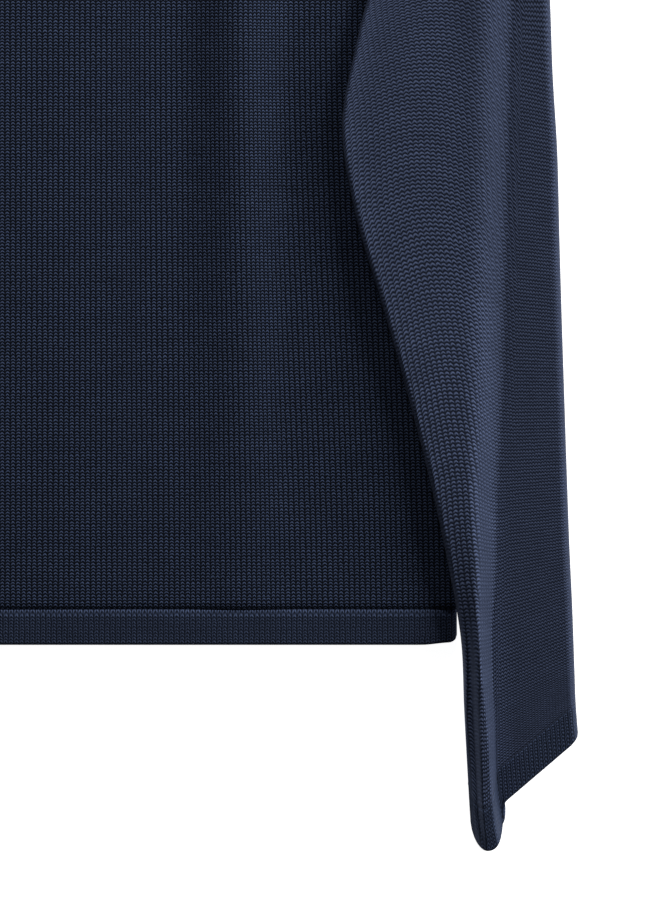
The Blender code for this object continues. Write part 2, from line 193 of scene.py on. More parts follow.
def knit_height(start, arch):
    """Height 0 to 1 over the stitches, the distance 0 to 1 from the middle of the wale to its gap, the place
    across and along, and the stitch map itself."""
    place = start.node("ShaderNodeUVMap", {"uv_map": STITCH_MAP})
    noise = place.noise(*WANDER_NOISE, output="Color")
    along_by = WANDER * WANDER_ALONG
    shift = start.node("ShaderNodeVectorMath", {"operation": "MULTIPLY_ADD"},
                       {0: noise, 1: (WANDER, along_by, 0.0), 2: (-WANDER / 2, -along_by / 2, 0.0)})
    moved = start.node("ShaderNodeVectorMath", {"operation": "ADD"}, {0: place, 1: shift})
    across = moved.node("ShaderNodeSeparateXYZ", None, {0: moved})
    along = Wire(across.tree, across.socket.node.outputs[1])
    side = (across.math("FRACT") - 0.5).math("ABSOLUTE") * 2.0
    turn = (along + side**ARCH_SHARP * arch).math("FRACT")
    strand = (turn * (2 * math.pi)).math("COSINE") * -0.5 + 0.5
    return strand, side, across, along, place


def knit_material(name, colour, arch, gap, sharp=2.2, deep=0.02, bright=1.0, legs=0.0, seam_row=1.0, seam_shadow=0.0,
                  low_gap=0.0, low_part=1.0):
    """Knitted cloth of a mean colour, times bright.

    arch is how far the strands climb, in courses, and sharp makes them thinner. gap is how dark the painted
    shade in the lines between the wales is, and deep the share of light left in the painted shade between the
    courses. legs shows the two legs of each stitch. seam_row brightens the course along a band's seam, and
    seam_shadow paints a shadow on the first course above a seam. Steep cloth is painted brighter, a painted
    sheen. On a sleeve, low_gap is added to gap on the lower half of the broad strip, and low_part is the
    share of light left on the part that lies on the floor."""
    material, shader, start = new_material(name)
    strand, side, across, along, place = knit_height(start, arch)
    depth = gap
    if low_gap:
        lower_half = (1.0 - along.smooth(*LOW_COURSES)) * (1.0 - across.smooth(*BROAD_WALES))
        depth = lower_half * low_gap + gap
    gully = side.smooth(*GULLY) * depth
    height = strand * (1.0 - gully * GULLY_LOW)
    # painted light and shade: bright along a strand's top, dark in the gaps between the wales
    tone = strand**sharp * (1.0 - gully)
    if legs:
        leg = side * (1.0 - side) * 4.0  # 1 half way between the wale's middle and its gap
        tone = tone + (leg**LEG_SHARP * (strand * LEG_SWING + LEG_LEAST) - tone) * legs
    fuzz = place.noise(*FUZZ_NOISE)
    patch = place.noise(*PATCH_NOISE)
    drawn = start.node("ShaderNodeVectorMath", {"operation": "MULTIPLY"},
                       {0: place, 1: (YARN_DRAWN, 1.0, 1.0)})
    yarn = drawn.noise(*YARN_NOISE)
    normal = start.node("ShaderNodeNewGeometry", None, None, "Normal")
    upright = start.node("ShaderNodeSeparateXYZ", None, {0: normal}, 2)
    steep = (1.0 - upright.math("ABSOLUTE")).smooth(*STEEP)
    even = tone + (MEAN_TONE - tone) * (steep * STEEP_EVENS)
    # painted sheen: steep cloth is painted brighter
    shade = even * (steep * PAINTED_SHEEN + 1.0)
    shade = shade * fuzz.swing(FUZZ_SWING) * patch.swing(PATCH_SWING) * yarn.swing(YARN_SWING)
    if seam_row > 1:  # nothing shows of it on the collar, whose courses count from far above
        on_seam = along.smooth(*SEAM_ROW_FROM) * (1.0 - along.smooth(*SEAM_ROW_TO))
        shade = shade * (on_seam * (seam_row - 1.0) + 1.0)
    # painted shadow: the first course above a seam is darkened, where the seam's gap would shade it
    if seam_shadow:
        shade = shade * (along.smooth(*SEAM_SHADOW_TO) * seam_shadow + (1.0 - seam_shadow))
    if low_gap:
        # painted tone on the sleeve's lower half: flat strands lighter, steep ones darker against the painted
        # sheen
        shade = shade * (lower_half * (1.0 - steep * MAKES_UP_TURNS) * GAP_MAKES_UP + 1.0)
    if low_part < 1:
        shade = shade * (across.smooth(*FLOOR_WALES) * (low_part - 1.0) + 1.0)
    full = [c * bright / MEAN_TONE for c in colour]
    mix = start.node("ShaderNodeMix", {"data_type": "RGBA", "clamp_factor": False},
                     {0: shade, 6: (*[c * deep for c in full], 1.0), 7: (*full, 1.0)}, 2)
    material.node_tree.links.new(mix.socket, shader.inputs["Base Color"])
    bump = start.node("ShaderNodeBump", None,
                      {"Height": height + fuzz * FUZZ_HIGH, "Strength": BUMP_STRENGTH, "Distance": BUMP_HIGH})
    material.node_tree.links.new(bump.socket, shader.inputs["Normal"])
    for socket, value in CLOTH_FINISH.items():
        shader.inputs[socket].default_value = value
    return material


body_knit = knit_material("body knit", NAVY, arch=0.7, gap=0.95, seam_shadow=0.65)
sleeve_knit = knit_material("sleeve knit", LIT_SLEEVE_NAVY, arch=0.45, gap=0.35, sharp=1.5, deep=0.1, bright=0.96,
                            seam_shadow=0.5, low_gap=0.48, low_part=0.66)
band_knit = knit_material("band knit", BAND_NAVY, arch=0.8, gap=0.95, sharp=1.9, deep=0.05, bright=0.74,
                          legs=0.6, seam_row=1.6)
print("knits:", body_knit.name, sleeve_knit.name, band_knit.name)

# %% [markdown]
# Cloth is a grid of points: rows along a piece and columns across or around it. The grid becomes a mesh with
# its stitch map, and a Solidify modifier gives it the thickness of the knit, inwards from the outer face. No
# point of it may lie below the floor.

# %% Cloth from a grid
CLOTH_THICK = 2 * MM


def cloth(name, points, stitches, material, around=False):
    """points is rows x columns x 3 in metres; stitches is the same grid in wales and courses, with one more
    column if the grid closes around a tube."""
    rows, columns = points.shape[:2]
    spans = columns if around else columns - 1
    row, column = np.meshgrid(np.arange(rows - 1), np.arange(spans), indexing="ij")
    row, column = row.ravel(), column.ravel()
    corners = ((row, column), (row, column + 1), (row + 1, column + 1), (row + 1, column))
    faces = np.stack([r * columns + c % columns for r, c in corners], axis=1)
    mesh = bpy.data.meshes.new(name)
    mesh.from_pydata(points.reshape(-1, 3), [], faces)
    layer = mesh.uv_layers.new(name=STITCH_MAP)
    stitch = np.stack([stitches[r, c] for r, c in corners], axis=1)
    layer.data.foreach_set("uv", stitch.reshape(-1).astype(np.float32))
    mesh.materials.append(material)
    mesh.shade_smooth()
    piece = bpy.data.objects.new(name, mesh)
    bpy.context.scene.collection.objects.link(piece)
    wall = piece.modifiers.new("Wall", "SOLIDIFY")
    wall.thickness = CLOTH_THICK
    wall.offset = -1.0
    bpy.ops.object.select_all(action="DESELECT")
    bpy.context.view_layer.objects.active = piece
    piece.select_set(True)
    bpy.ops.object.modifier_apply(modifier=wall.name)
    spots = np.empty(len(piece.data.vertices) * 3, np.float32)
    piece.data.vertices.foreach_get("co", spots)
    spots[2::3] = np.maximum(spots[2::3], 0.0)
    piece.data.vertices.foreach_set("co", spots)
    print(name, len(piece.data.polygons), "faces")
    return piece


def clamp(value):
    """Held between 0 and 1."""
    return np.clip(value, 0.0, 1.0)


def ease(value):
    """0 to 1 with a soft start and end."""
    value = clamp(value)
    return value * value * (3 - 2 * value)


def rounding(distance, radius):
    """Height share of a quarter round, at a distance in from its edge."""
    short = 1 - clamp(distance / radius)
    return np.sqrt(clamp(1 - short * short))


def stations(*marks):
    """Even steps between marks, each given as (place, steps to the next one)."""
    parts = [np.linspace(a, b, steps, endpoint=False) for (a, steps), (b, _) in zip(marks, marks[1:])]
    return np.append(np.concatenate(parts), marks[-1][0])


# %% [markdown]
# The body is two panels, front and back. Lengths here are in millimetres from the hem's bottom edge and the
# middle. The front lies on the back and rolls down to it at the sides and shoulders. It has a few soft folds
# that run up it, strongest at the chest and weak at the hem, and broad swells beside the sleeves and below
# the collar.

# %% The body's outline and folds
SEAM = 0.3
HALF_CHEST = 245.0
HEM_HEIGHT = 18.0
SHOULDER_TIP = (209.0, 545.0)
NECK_POINT = (88.0, 585.0)
FRONT_NECK_DEPTH = 62.0
BACK_NECK_DEPTH = 14.0
FRONT_LIES = 6.8
BACK_LIES = 2.0
EDGE_LIES = 4.3
SIDE_ROLL = 16.0
BAND_PROUD = 0.4
# y, half width
OUTLINE = np.array([
    (0.0, 245.0),
    (340.0, 245.0),
    (372.0, 240.0),
    (398.0, 226.0),
    (435.0, 212.0),
    (485.0, 206.0),
    (545.0, 209.0),
])
# x, width on the left, width on the right, height, share left at the hem
FOLDS = (
    (0.0, 84.0, 84.0, 2.0, 0.1),
    (132.0, 31.0, 28.0, 5.2, 0.12),
    (-124.0, 27.0, 34.0, 4.4, 0.15),
)
FOLD_FULL_Y, FOLD_GONE_Y = 330.0, 530.0
# x, y, half width, half height, lift of each swell
SWELLS = (
    (187.0, 272.0, 34.0, 112.0, 4.0),
    (-184.0, 285.0, 38.0, 105.0, 3.5),
    (234.0, 122.0, 70.0, 108.0, 4.2),
    (-231.0, 128.0, 63.0, 112.0, 3.8),
    (60.0, 470.0, 60.0, 60.0, 1.6),
    (-74.0, 455.0, 48.0, 70.0, 1.9),
)


def half_width(y):
    """Half the body's width at this height."""
    return np.interp(y, OUTLINE[:, 0], OUTLINE[:, 1])


def shoulder_line(x):
    """The shoulder's height, from the neck point down to its tip."""
    share = clamp((np.abs(x) - NECK_POINT[0]) / (SHOULDER_TIP[0] - NECK_POINT[0]))
    return NECK_POINT[1] + (SHOULDER_TIP[1] - NECK_POINT[1]) * share


def top_edge(x, depth):
    """The panel's top edge: shoulders, and a scoop for the neck."""
    scoop = np.sqrt(clamp(1 - (x / NECK_POINT[0]) ** 2))
    return np.where(np.abs(x) >= NECK_POINT[0], shoulder_line(x), NECK_POINT[1] - depth * scoop)


def fold_height(x, y):
    """How much the folds and swells raise the front."""
    rise = ease(y / FOLD_FULL_Y) * (1 - ease((y - FOLD_FULL_Y) / (FOLD_GONE_Y - FOLD_FULL_Y)))
    total = 0.0
    for centre, left, right, height, at_hem in FOLDS:
        shape = 1 - ease(np.abs(x - centre) / np.where(x < centre, left, right))
        total = total + height * shape * (at_hem + (1 - at_hem) * rise)
    for centre, middle, half, tall, lift in SWELLS:
        total = total + lift * (1 - ease(np.hypot((x - centre) / half, (y - middle) / tall)))
    return total


def front_height(x, y):
    """Height of the front's outer face over the floor."""
    side = rounding(half_width(y) - np.abs(x), SIDE_ROLL)
    over_shoulder = np.abs(x) > NECK_POINT[0]
    top = rounding(np.where(over_shoulder, shoulder_line(x) - y, SIDE_ROLL), SIDE_ROLL)
    top = top + (1 - top) * (1 - ease((np.abs(x) - NECK_POINT[0]) / SIDE_ROLL))
    return EDGE_LIES + (FRONT_LIES - EDGE_LIES + fold_height(x, y)) * side * top


# %% [markdown]
# The wales of the body stand upright, 2.8 mm apart, and closer where the cloth tilts into a fold. The courses
# are 1.66 mm high.

# %% Front and back
WALE, COURSE = 2.78, 1.66
# from x, to x, extra wales
GATHERS = (
    (-159.0, -128.0, 2.2),
    (-118.0, -96.0, 1.2),
    (-40.0, -12.0, 0.7),
    (65.5, 82.7, 0.9),
    (103.0, 129.5, 1.5),
    (134.7, 158.0, 2.6),
)
GATHERED_AT_HEM = 0.3  # this share of the extra wales is there at the hem
SIDE_FINE, SIDE_STEPS = 0.95, 12  # from this share of the width on, the grid has this many finer steps
TOP_FINE, TOP_STEPS = 0.97, 10


def wale_count(x, y):
    """Wales from the middle of the body to x: even ones, and those gathered where a fold turns down."""
    total = x / WALE + 0.5
    gathered = GATHERED_AT_HEM + (1 - GATHERED_AT_HEM) * ease(y / FOLD_FULL_Y)
    for low, high, extra in GATHERS:
        total = total + extra * (ease((x - low) / (high - low)) - (high < 0)) * gathered
    return total


def placed(x, y, z):
    """Points in metres in the frame, from millimetres above the hem."""
    return np.stack([x * MM, y * MM + HEM_Y, z * MM], axis=-1)


def panel(name, node, neck_depth, height, steps_across, steps_up):
    """A body panel with the stitch map, as high as the height function says."""
    neck = NECK_POINT[0] / SHOULDER_TIP[0]
    right = stations((0.0, int(steps_across * neck)), (neck, int(steps_across * (SIDE_FINE - neck))),
                     (SIDE_FINE, SIDE_STEPS), (1.0, 0))
    share = np.append(-right[:0:-1], right)[None, :]
    up = stations((0.0, steps_up), (TOP_FINE, TOP_STEPS), (1.0, 0))[:, None]
    bottom = HEM_HEIGHT + SEAM
    y = bottom + (top_edge(share * SHOULDER_TIP[0], neck_depth) - bottom) * up
    x = share * half_width(y)
    stitches = np.stack([wale_count(x, y), (y - bottom) / COURSE], axis=-1)
    piece = cloth(name, placed(x, y, height(x, y)), stitches, body_knit)
    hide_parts(node)
    return piece


def back_height(x, y):
    """The back lies flat."""
    return BACK_LIES + 0 * x


front = panel("front_knit", "body_front", FRONT_NECK_DEPTH, front_height, steps_across=90, steps_up=130)
back = panel("back_knit", "body_back", BACK_NECK_DEPTH, back_height, steps_across=40, steps_up=40)

# %% [markdown]
# The hem band is a finer knit all round the bottom edge. It is one flat tube, rounded where it turns at the
# sides, where its bottom edge rises a little.

# %% Hem band
HEM_LIFT, HEM_LIFT_FROM, HEM_LIFT_OVER = 1.2, 226.0, 16.0
HEM_CORNER_LIFT, HEM_CORNER = 4.0, 4.5
HEM_BLUNT = 0.4  # its sides would round off this far outside it, so they end in a low wall
HEM_STATIONS = ((0.0, 60), (0.93, 24), (1.0, 0))
HEM_LEVELS = 11
SEAM_START = 0.3
SEAM_COURSE = 3.0  # the course along a band's seam is this tall
TUCK = 0.9  # a band reaches this far under the piece above it


def band_courses(distance):
    """The stitch map's courses in a band, SEAM_START at its seam and less below it."""
    below = 1 + (distance - SEAM_COURSE) / COURSE
    return SEAM_START - np.where(distance < SEAM_COURSE, distance / SEAM_COURSE, below)


def hem_band():
    """The band's grid goes once around: over the front from right to left, and back under it."""
    right = stations(*HEM_STATIONS)
    share = np.append(-right[:0:-1], right)
    upper = share[::-1]
    lower = share[1:-1]
    across = np.concatenate([upper, lower])[None, :]
    is_upper = (np.arange(across.shape[1]) < len(upper))[None, :]
    seam_level = 1 - SEAM_COURSE / HEM_HEIGHT
    level = np.append(np.linspace(0.0, seam_level, HEM_LEVELS), (1.0, 1.0 + TUCK / HEM_HEIGHT))[:, None]
    x = across * HALF_CHEST + 0 * level
    lift = HEM_LIFT * ease((np.abs(x) - HEM_LIFT_FROM) / HEM_LIFT_OVER)
    lift = lift + HEM_CORNER_LIFT * (1 - rounding(HALF_CHEST - np.abs(x), HEM_CORNER))
    y = HEM_HEIGHT * level + lift * (1 - level)
    top = (FRONT_LIES + BAND_PROUD) * rounding(HALF_CHEST - np.abs(x) + HEM_BLUNT, SIDE_ROLL)
    tucked = np.where(level > 1, TUCK, 0.0)
    z = np.where(is_upper, np.maximum(top - tucked, 0.0), tucked)
    wide = np.append(x[0], x[0, 0])
    run = np.append(0, np.cumsum(np.abs(np.diff(wide))))
    down = band_courses(HEM_HEIGHT * (1 - level))
    stitches = np.stack(np.broadcast_arrays(run[None, :] / WALE, down), axis=-1)
    points = placed(x, y, z)
    return cloth("hem_knit", points[::-1], stitches[::-1], band_knit, around=True)


hem = hem_band()
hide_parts("hem_band")

# %% [markdown]
# Each sleeve is one tube, folded down along the body. Seen from above it has three strips: a broad one that
# laps over the front, a steep one that falls from the crest of a raised fold, and a low one that lies on the
# floor. The table has a row for each section, from the cuff's edge up to the armhole. From it, one function
# gives the places of points seen from above, and another the height of the tube's upper layer.

# %% The sleeve's sections
# left x, left y, crest x, crest y, foot x, foot y, right x, right y, height, arch
SLEEVE = np.array([
    (251.8, -88.0, 260.8, -106.6, 269.2, -82.2, 308.4, -48.8, 21.0, 0.0),
    (250.6, -68.0, 258.6, -84.8, 266.2, -65.0, 307.0, -30.6, 22.0, 0.0),
    (248.8, -34.8, 258.0, -40.0, 266.8, -31.7, 306.3, -12.0, 22.5, 0.0),
    (247.0, 2.6, 256.9, 1.6, 267.3, 5.7, 305.2, 19.2, 23.0, 0.0),
    (240.4, 41.0, 256.9, 43.0, 271.4, 46.3, 303.7, 51.5, 22.5, 0.3),
    (231.2, 83.2, 255.8, 85.3, 273.0, 85.8, 302.4, 87.9, 22.0, 0.6),
    (219.2, 129.5, 254.8, 132.6, 274.5, 130.5, 301.0, 130.5, 21.5, 1.0),
    (206.8, 173.2, 255.8, 178.4, 275.4, 173.2, 299.7, 170.6, 21.0, 2.2),
    (192.4, 222.0, 256.9, 227.0, 276.4, 215.8, 298.5, 212.7, 21.0, 6.8),
    (185.1, 267.8, 257.9, 274.0, 277.4, 260.5, 297.4, 256.4, 21.0, 7.4),
    (191.6, 308.4, 259.0, 315.6, 278.2, 301.0, 295.0, 297.0, 20.5, 7.8),
    (200.0, 340.0, 262.0, 354.0, 279.5, 345.0, 293.0, 347.0, 19.5, 6.0),
    (210.5, 358.0, 262.0, 390.0, 277.0, 397.0, 288.0, 409.0, 18.0, 2.0),
    (219.0, 370.0, 253.0, 422.0, 265.0, 442.0, 273.5, 472.0, 16.0, 0.0),
    (224.0, 381.0, 235.0, 430.0, 239.0, 474.0, 243.0, 524.0, 14.0, 0.0),
    (219.0, 394.0, 210.0, 425.0, 202.6, 480.0, 207.0, 549.0, 12.4, 0.0),
])
CREST_SHARE = 0.95
LEFT_SHARES = (0.86, 1.08)
BROAD_FROM, BROAD_OVER = 2.0, 3.0
CUFF_ROW = 1.0
CUFF_TUCK = 0.06  # the cuff's end reaches this many rows under the sleeve, a little narrower and lower
TUCK_NARROW, TUCK_SHARP = 0.045, 5  # it is drawn in by this share, most of it close to its edges
TUCK_LOW, TUCK_RISE = 0.88, 0.3
CORNER_ROWS, CORNER_SHARE = 0.24, 0.12
BOW_TO, BOW_OVER = 11, 2  # the sections curve at the left edge up to this row, less over the last ones
FALL_STEEP = 0.9  # from 0, even, to 1, upright at the foot
FOOT_HEIGHT = 7.6
LEAST_THICK = 5.6  # the tube is nowhere thinner than this, but for its rounded edges
LEFT_ROLL, RIGHT_ROLL = 2.4, 4.5
LEAST_SQUARE = 0.6
LAP = 0.5
TIP_ROWS, TIP_BULGE = 1.0, 0.8
# rows, and how much lower the left edge lies there
LEFT_LOWER = (
    (0, 2, 4, 5, 6.5, 8.5, 11.5, 13.5),
    (7.5, 6.5, 4.5, 3.5, 2.0, 5.5, 6.5, 0.0),
)
# row, how far before the crest the cloth begins to fall, share of the steep strip in which it has fallen,
# how late in that width it is steepest
FALLING = np.array([
    (0.0, -4.5, 1.0, 1.5),
    (1.0, -3.6, 0.92, 1.5),
    (1.6, -2.5, 0.82, 1.4),
    (2.5, 0.6, 0.67, 1.2),
    (3.3, 2.8, 0.61, 1.1),
    (4.8, 6.0, 0.63, 1.1),
    (6.2, 8.5, 0.76, 1.6),
    (8.0, 9.0, 0.74, 1.7),
    (15.0, 9.0, 0.74, 1.7),
])
RIM_LIFT, RIM_WIDE = 1.1, 6.0  # the broad strip turns up a little along its free edge
RIM_FROM, RIM_OVER, RIM_TO = 6.5, 2, 13  # rows
DRAPE, DRAPE_INSET, SHOULDER_DRAPE = 22.0, 4.0, 12.0
GROOVE_DEEP, GROOVE_WIDE = 2.2, 0.2  # a groove runs up the finger that the broad strip ends in
GROOVE_FROM, GROOVE_TO, GROOVE_OVER = -0.2, 2.3, 1.4  # rows
# rows, and the groove's place between the left edge and the crest
GROOVE_AT = (
    (0.0, 1.0, 2.5),
    (0.85, 0.66, 0.42),
)


def sections(row):
    """The table's values at fractional rows, on a smooth curve through them."""
    i = np.clip(np.floor(row).astype(int), 0, len(SLEEVE) - 2)
    t = (row - i)[..., None]
    p1, p2 = SLEEVE[i], SLEEVE[i + 1]
    p0, p3 = SLEEVE[np.maximum(i - 1, 0)], SLEEVE[np.minimum(i + 2, len(SLEEVE) - 1)]
    h1, h2, h4 = 2 * t**3 - 3 * t**2 + 1, t**3 - 2 * t**2 + t, t**3 - t**2
    return h1 * p1 + h2 * (p2 - p0) / 2 + (1 - h1) * p2 + h4 * (p3 - p1) / 2


def support(x, y, side):
    """Height of what the sleeve lies on: the body, sloping down to the floor beside it."""
    slope = 1 - ease((np.abs(x) - half_width(y) + DRAPE_INSET) / DRAPE)
    over_shoulder = 1 - ease((y - shoulder_line(x) + DRAPE_INSET) / SHOULDER_DRAPE)
    lies = FRONT_LIES + BAND_PROUD + LAP + fold_height(x * side, y)
    return lies * slope * over_shoulder * (1 - ease(-y / DRAPE))


def corner(rows, c):
    """How many rows the cuff's edge is drawn back where it rounds into the sleeve's outer edge."""
    return CORNER_ROWS * (1 - rounding(1 - c, CORNER_SHARE)) * clamp(1 - rows / CUFF_ROW)


def fall(t):
    """0 at the crest to 1 at the foot, ever steeper on the way."""
    return (1 - np.sqrt(1 - FALL_STEEP * t * t)) / (1 - np.sqrt(1 - FALL_STEEP))


def plan(rows, q):
    """Where the tube's points lie, seen from above. q goes from 0 at the left edge over 1 at the crest and 2
    at the foot to 3 at the right edge. Gives x, y, the share walked over each strip and the table's values
    there."""
    strips = [clamp(q - i) for i in range(3)]
    a, b, c = strips
    table = np.moveaxis(sections(rows + corner(rows, c)), -1, 0)
    lx, ly, cx, cy, fx, fy, rx, ry, _, arch = table
    bowed = clamp((BOW_TO - rows) / BOW_OVER)
    blunt = 1 + TIP_BULGE * (1 - ease(rows / TIP_ROWS))
    x = lx + (cx - lx) * a + (fx - cx) * (1 - (1 - b) ** blunt) + (rx - fx) * c
    y = ly + (cy - ly) * (a + (rounding(a, 1.0) - a) * bowed) + arch * 4 * a * (1 - a)
    y = y + (fy - cy) * fall(b) + (ry - fy) * c
    return x, y, strips, table


def upper_height(rows, x, y, a, table, side, softness):
    """Height of the upper layer: from the left edge up to the crest, down the steep strip, and level."""
    lx, ly, cx, cy, fx, _, rx, ry, height, _ = table
    height = height * softness
    crest = height * CREST_SHARE
    broad = ease((rows - BROAD_FROM) / BROAD_OVER)
    left = height * (LEFT_SHARES[0] + (LEFT_SHARES[1] - LEFT_SHARES[0]) * broad)
    left = left - np.interp(rows, *LEFT_LOWER)
    early, share, late = (np.interp(rows, FALLING[:, 0], FALLING[:, i]) for i in (1, 2, 3))
    steep = ease(clamp((x - cx + early) / ((fx - cx) * share + early)) ** late)
    top = left + (crest - left) * ease(a) + (np.minimum(FOOT_HEIGHT, crest) - crest) * steep
    groove = GROOVE_DEEP * np.exp(-(((a - np.interp(rows, *GROOVE_AT)) / GROOVE_WIDE) ** 2))
    top = top - groove * ease(rows - GROOVE_FROM) * (1 - ease((rows - GROOVE_TO) / GROOVE_OVER))
    rim = RIM_LIFT * np.exp(-(((x - lx) / RIM_WIDE) ** 2))
    top = top + rim * ease((rows - RIM_FROM) / RIM_OVER) * ease(RIM_TO - rows)
    run = np.hypot(cx - lx, cy - ly)
    square = np.maximum(np.abs(cx - lx) / run, LEAST_SQUARE)
    edge = rounding(np.hypot(x - lx, y - ly) * square, LEFT_ROLL)
    edge = edge * rounding(np.hypot(rx - x, ry - y), RIGHT_ROLL)
    under = support(x, y, side)
    return under + (np.maximum(top, under + LEAST_THICK) - under) * edge


# %% [markdown]
# The stitch map follows the strips. The courses are the table's sections. The wales run parallel to the outer
# edge over the low strip, 7 to 12 of them climb the steep one, and the broad strip's are counted from the
# crest, so that near the cuff they lie along its free edge. The underside lies on the body and the floor.

# %% Sleeve tubes
SLEEVE_COURSE = 2.08
LOW_WALE, BROAD_WALE = 1.53, 2.9
CUFF_WALE = 2.3
# rows, and how many wales climb the steep strip there
CLIMBING_WALES = (
    (0, 1, 2, 3, 4, 5, 6, 7, 8),
    (7.8, 7.2, 7.5, 8.8, 10.8, 11.8, 11.4, 9.7, 7.0),
)
HEAD_FROM, HEAD_OVER = 10.2, 2.0  # from this row up stitches keep their size on the way to the shoulder
# where the sleeve is broad, its courses fall off this much more to the left and to the right
LEFT_BOW, RIGHT_BOW = 8.0, 14.0
LEFT_BOW_TO, RIGHT_BOW_FROM = 0.6, 0.7  # from the left edge to here, and from here on
BOWED_FROM, BOWED_OVER = 3.0, 4.0  # rows
FINE_STEPS = 301
# place around the tube, and how many steps there are to the next one
UPPER_STATIONS = ((0.0, 14), (0.14, 40), (1.0, 34), (2.0, 20), (2.85, 12), (3.0, 0))
UNDER_STATIONS = ((0.03, 40), (2.97, 0))
SLEEVE_STEPS, CUFF_STEPS = 211, 25
RIGHT_SOFTNESS = 0.94  # the right sleeve's fold is this share of the left one's height


def course_count():
    """Courses from the cuff's seam up to each row of a fine list of rows, along the crest."""
    fine = np.linspace(0, len(SLEEVE) - 1, FINE_STEPS)
    crest = sections(fine)[:, 2:4]
    run = np.append(0, np.cumsum(np.hypot(*np.diff(crest, axis=0).T)))
    run = run - np.interp(CUFF_ROW, fine, run)
    return fine, run / SLEEVE_COURSE


FINE_ROWS, FINE_COURSES = course_count()


def upper_stitches(rows, q, x, y, strips, table, low_wale):
    """The upper layer's wales, counted from the outer edge, and its courses, counted from the cuff's seam."""
    a, b, _ = strips
    _, _, cx, cy, fx, fy, rx, ry, _, _ = table
    head = ease((rows - HEAD_FROM) / HEAD_OVER)
    wale = -np.hypot(rx - x, (ry - y) * head) / low_wale
    foot_wale = -np.hypot(rx - fx, (ry - fy) * head) / low_wale
    climbing = np.interp(rows, *CLIMBING_WALES)
    crest_wale = foot_wale - climbing
    broad_wale = crest_wale - np.hypot(cx - x, (cy - y) * head) / BROAD_WALE
    wale = np.where(q >= 2, wale, np.where(q >= 1, crest_wale + climbing * b, broad_wale))
    bow = LEFT_BOW * clamp(1 - a / LEFT_BOW_TO) ** 2 + RIGHT_BOW * ease(q - RIGHT_BOW_FROM)
    level = np.interp(rows, FINE_ROWS, FINE_COURSES)
    rise = np.diff(level, axis=0)
    walked = np.hypot(np.diff(x, axis=0), np.diff(y, axis=0)) / SLEEVE_COURSE
    risen = np.cumsum(rise + (walked - rise) * head[1:], axis=0)
    course = level[:1] + np.append(0 * risen[:1], risen, axis=0)
    course = course + bow * ease((rows - BOWED_FROM) / BOWED_OVER) / SLEEVE_COURSE
    return wale, course


def sleeve_grid(rows, side, softness, low_wale):
    """Points in millimetres and stitches of a sleeve's tube at the given rows, drawn for the left sleeve: its
    upper layer from right to left, and back under it."""
    rows = rows[:, None]
    q = stations(*UPPER_STATIONS)[None, ::-1]
    x, y, strips, table = plan(rows, q)
    z = upper_height(rows, x, y, strips[0], table, side, softness)
    wale, course = upper_stitches(rows, q, x, y, strips, table, low_wale)
    under_q = stations(*UNDER_STATIONS)[None, :]
    under_x, under_y, _, table = plan(rows, under_q)
    right_x = table[6]
    under_wale = (right_x - under_x) / CUFF_WALE
    under_course = np.interp(rows, FINE_ROWS, FINE_COURSES) + 0 * under_q
    upper = (x, y, z, wale, course)
    under = (under_x, under_y, support(under_x, under_y, side), under_wale, under_course)
    ring = np.stack([np.append(*layers, axis=1) for layers in zip(upper, under)], axis=-1)
    points, stitches = ring[..., :3], ring[..., 3:]
    return points, np.append(stitches, stitches[:, :1], axis=1)


def tuck_end(points):
    """Draws a cuff's last ring in a little, and lower, so that it reaches under the sleeve."""
    low, high = points[-1, :, 0].min(), points[-1, :, 0].max()
    out = (2 * points[-1, :, 0] - low - high) / (high - low)
    points[-1, :, 0] -= TUCK_NARROW * out**TUCK_SHARP * (high - low) / 2
    points[-1, :, 2] = points[-1, :, 2] * TUCK_LOW + TUCK_RISE


def tube(name, rows, side, softness, low_wale, material, node):
    """A stretch of one sleeve as cloth; side is 1 for the wearer's left sleeve and -1 for the right."""
    points, stitches = sleeve_grid(rows, side, softness, low_wale)
    if rows[-1] <= CUFF_ROW + CUFF_TUCK:
        tuck_end(points)
    points = points * (side, 1, 1)
    if side > 0:
        points, stitches = points[::-1], stitches[::-1]
    spots = placed(points[..., 0], points[..., 1], points[..., 2])
    piece = cloth(name, spots, stitches, material, around=True)
    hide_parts(node)
    return piece


last_row = len(SLEEVE) - 1
sleeve_rows = np.linspace(CUFF_ROW, last_row, SLEEVE_STEPS)
cuff_rows = np.append(np.linspace(0.0, CUFF_ROW, CUFF_STEPS), CUFF_ROW + CUFF_TUCK)
sleeves, cuffs = {}, {}
for word, side, softness in (("left", 1, 1.0), ("right", -1, RIGHT_SOFTNESS)):
    sleeves[word] = tube(f"sleeve_{word}_knit", sleeve_rows, side, softness, LOW_WALE,
                         sleeve_knit, f"sleeve_{word}")
    cuffs[word] = tube(f"cuff_{word}_knit", cuff_rows, side, softness, CUFF_WALE,
                       band_knit, f"cuff_{word}")

# %% [markdown]
# The collar is a tube of the band's knit that stands up from the neckline and is folded over outwards at its
# top. Its section is drawn once, as a path up, over and down, and carried around the flattened neck.

# %% Collar
WALL = 2.0
COLLAR_HALF, COLLAR_TOP = 87.4, 657.0
COLLAR_LAP, COLLAR_SLIT = 12.0, 0.3
COLLAR_RISE = 3.0  # its top rises this much towards its ends
COLLAR_UP_STEPS, COLLAR_TURN_POINTS, COLLAR_ACROSS_POINTS = 40, 13, 61
CLOSING_WALE = 0.5  # width of the last stitch, which closes the tube


def collar_path(layers, turn, bend):
    """The section, as the way it goes, its layer outwards and how far it has come that way."""
    level = stations((0.0, COLLAR_UP_STEPS), (1.0, 0))
    bow = np.linspace(0, math.pi, COLLAR_TURN_POINTS)
    path = [("up", layers[0], t) for t in level[:-1]]
    path += [("over", turn - bend * math.cos(a), bend * math.sin(a)) for a in bow]
    path += [("down", layers[3], t) for t in level[1:]]
    return path


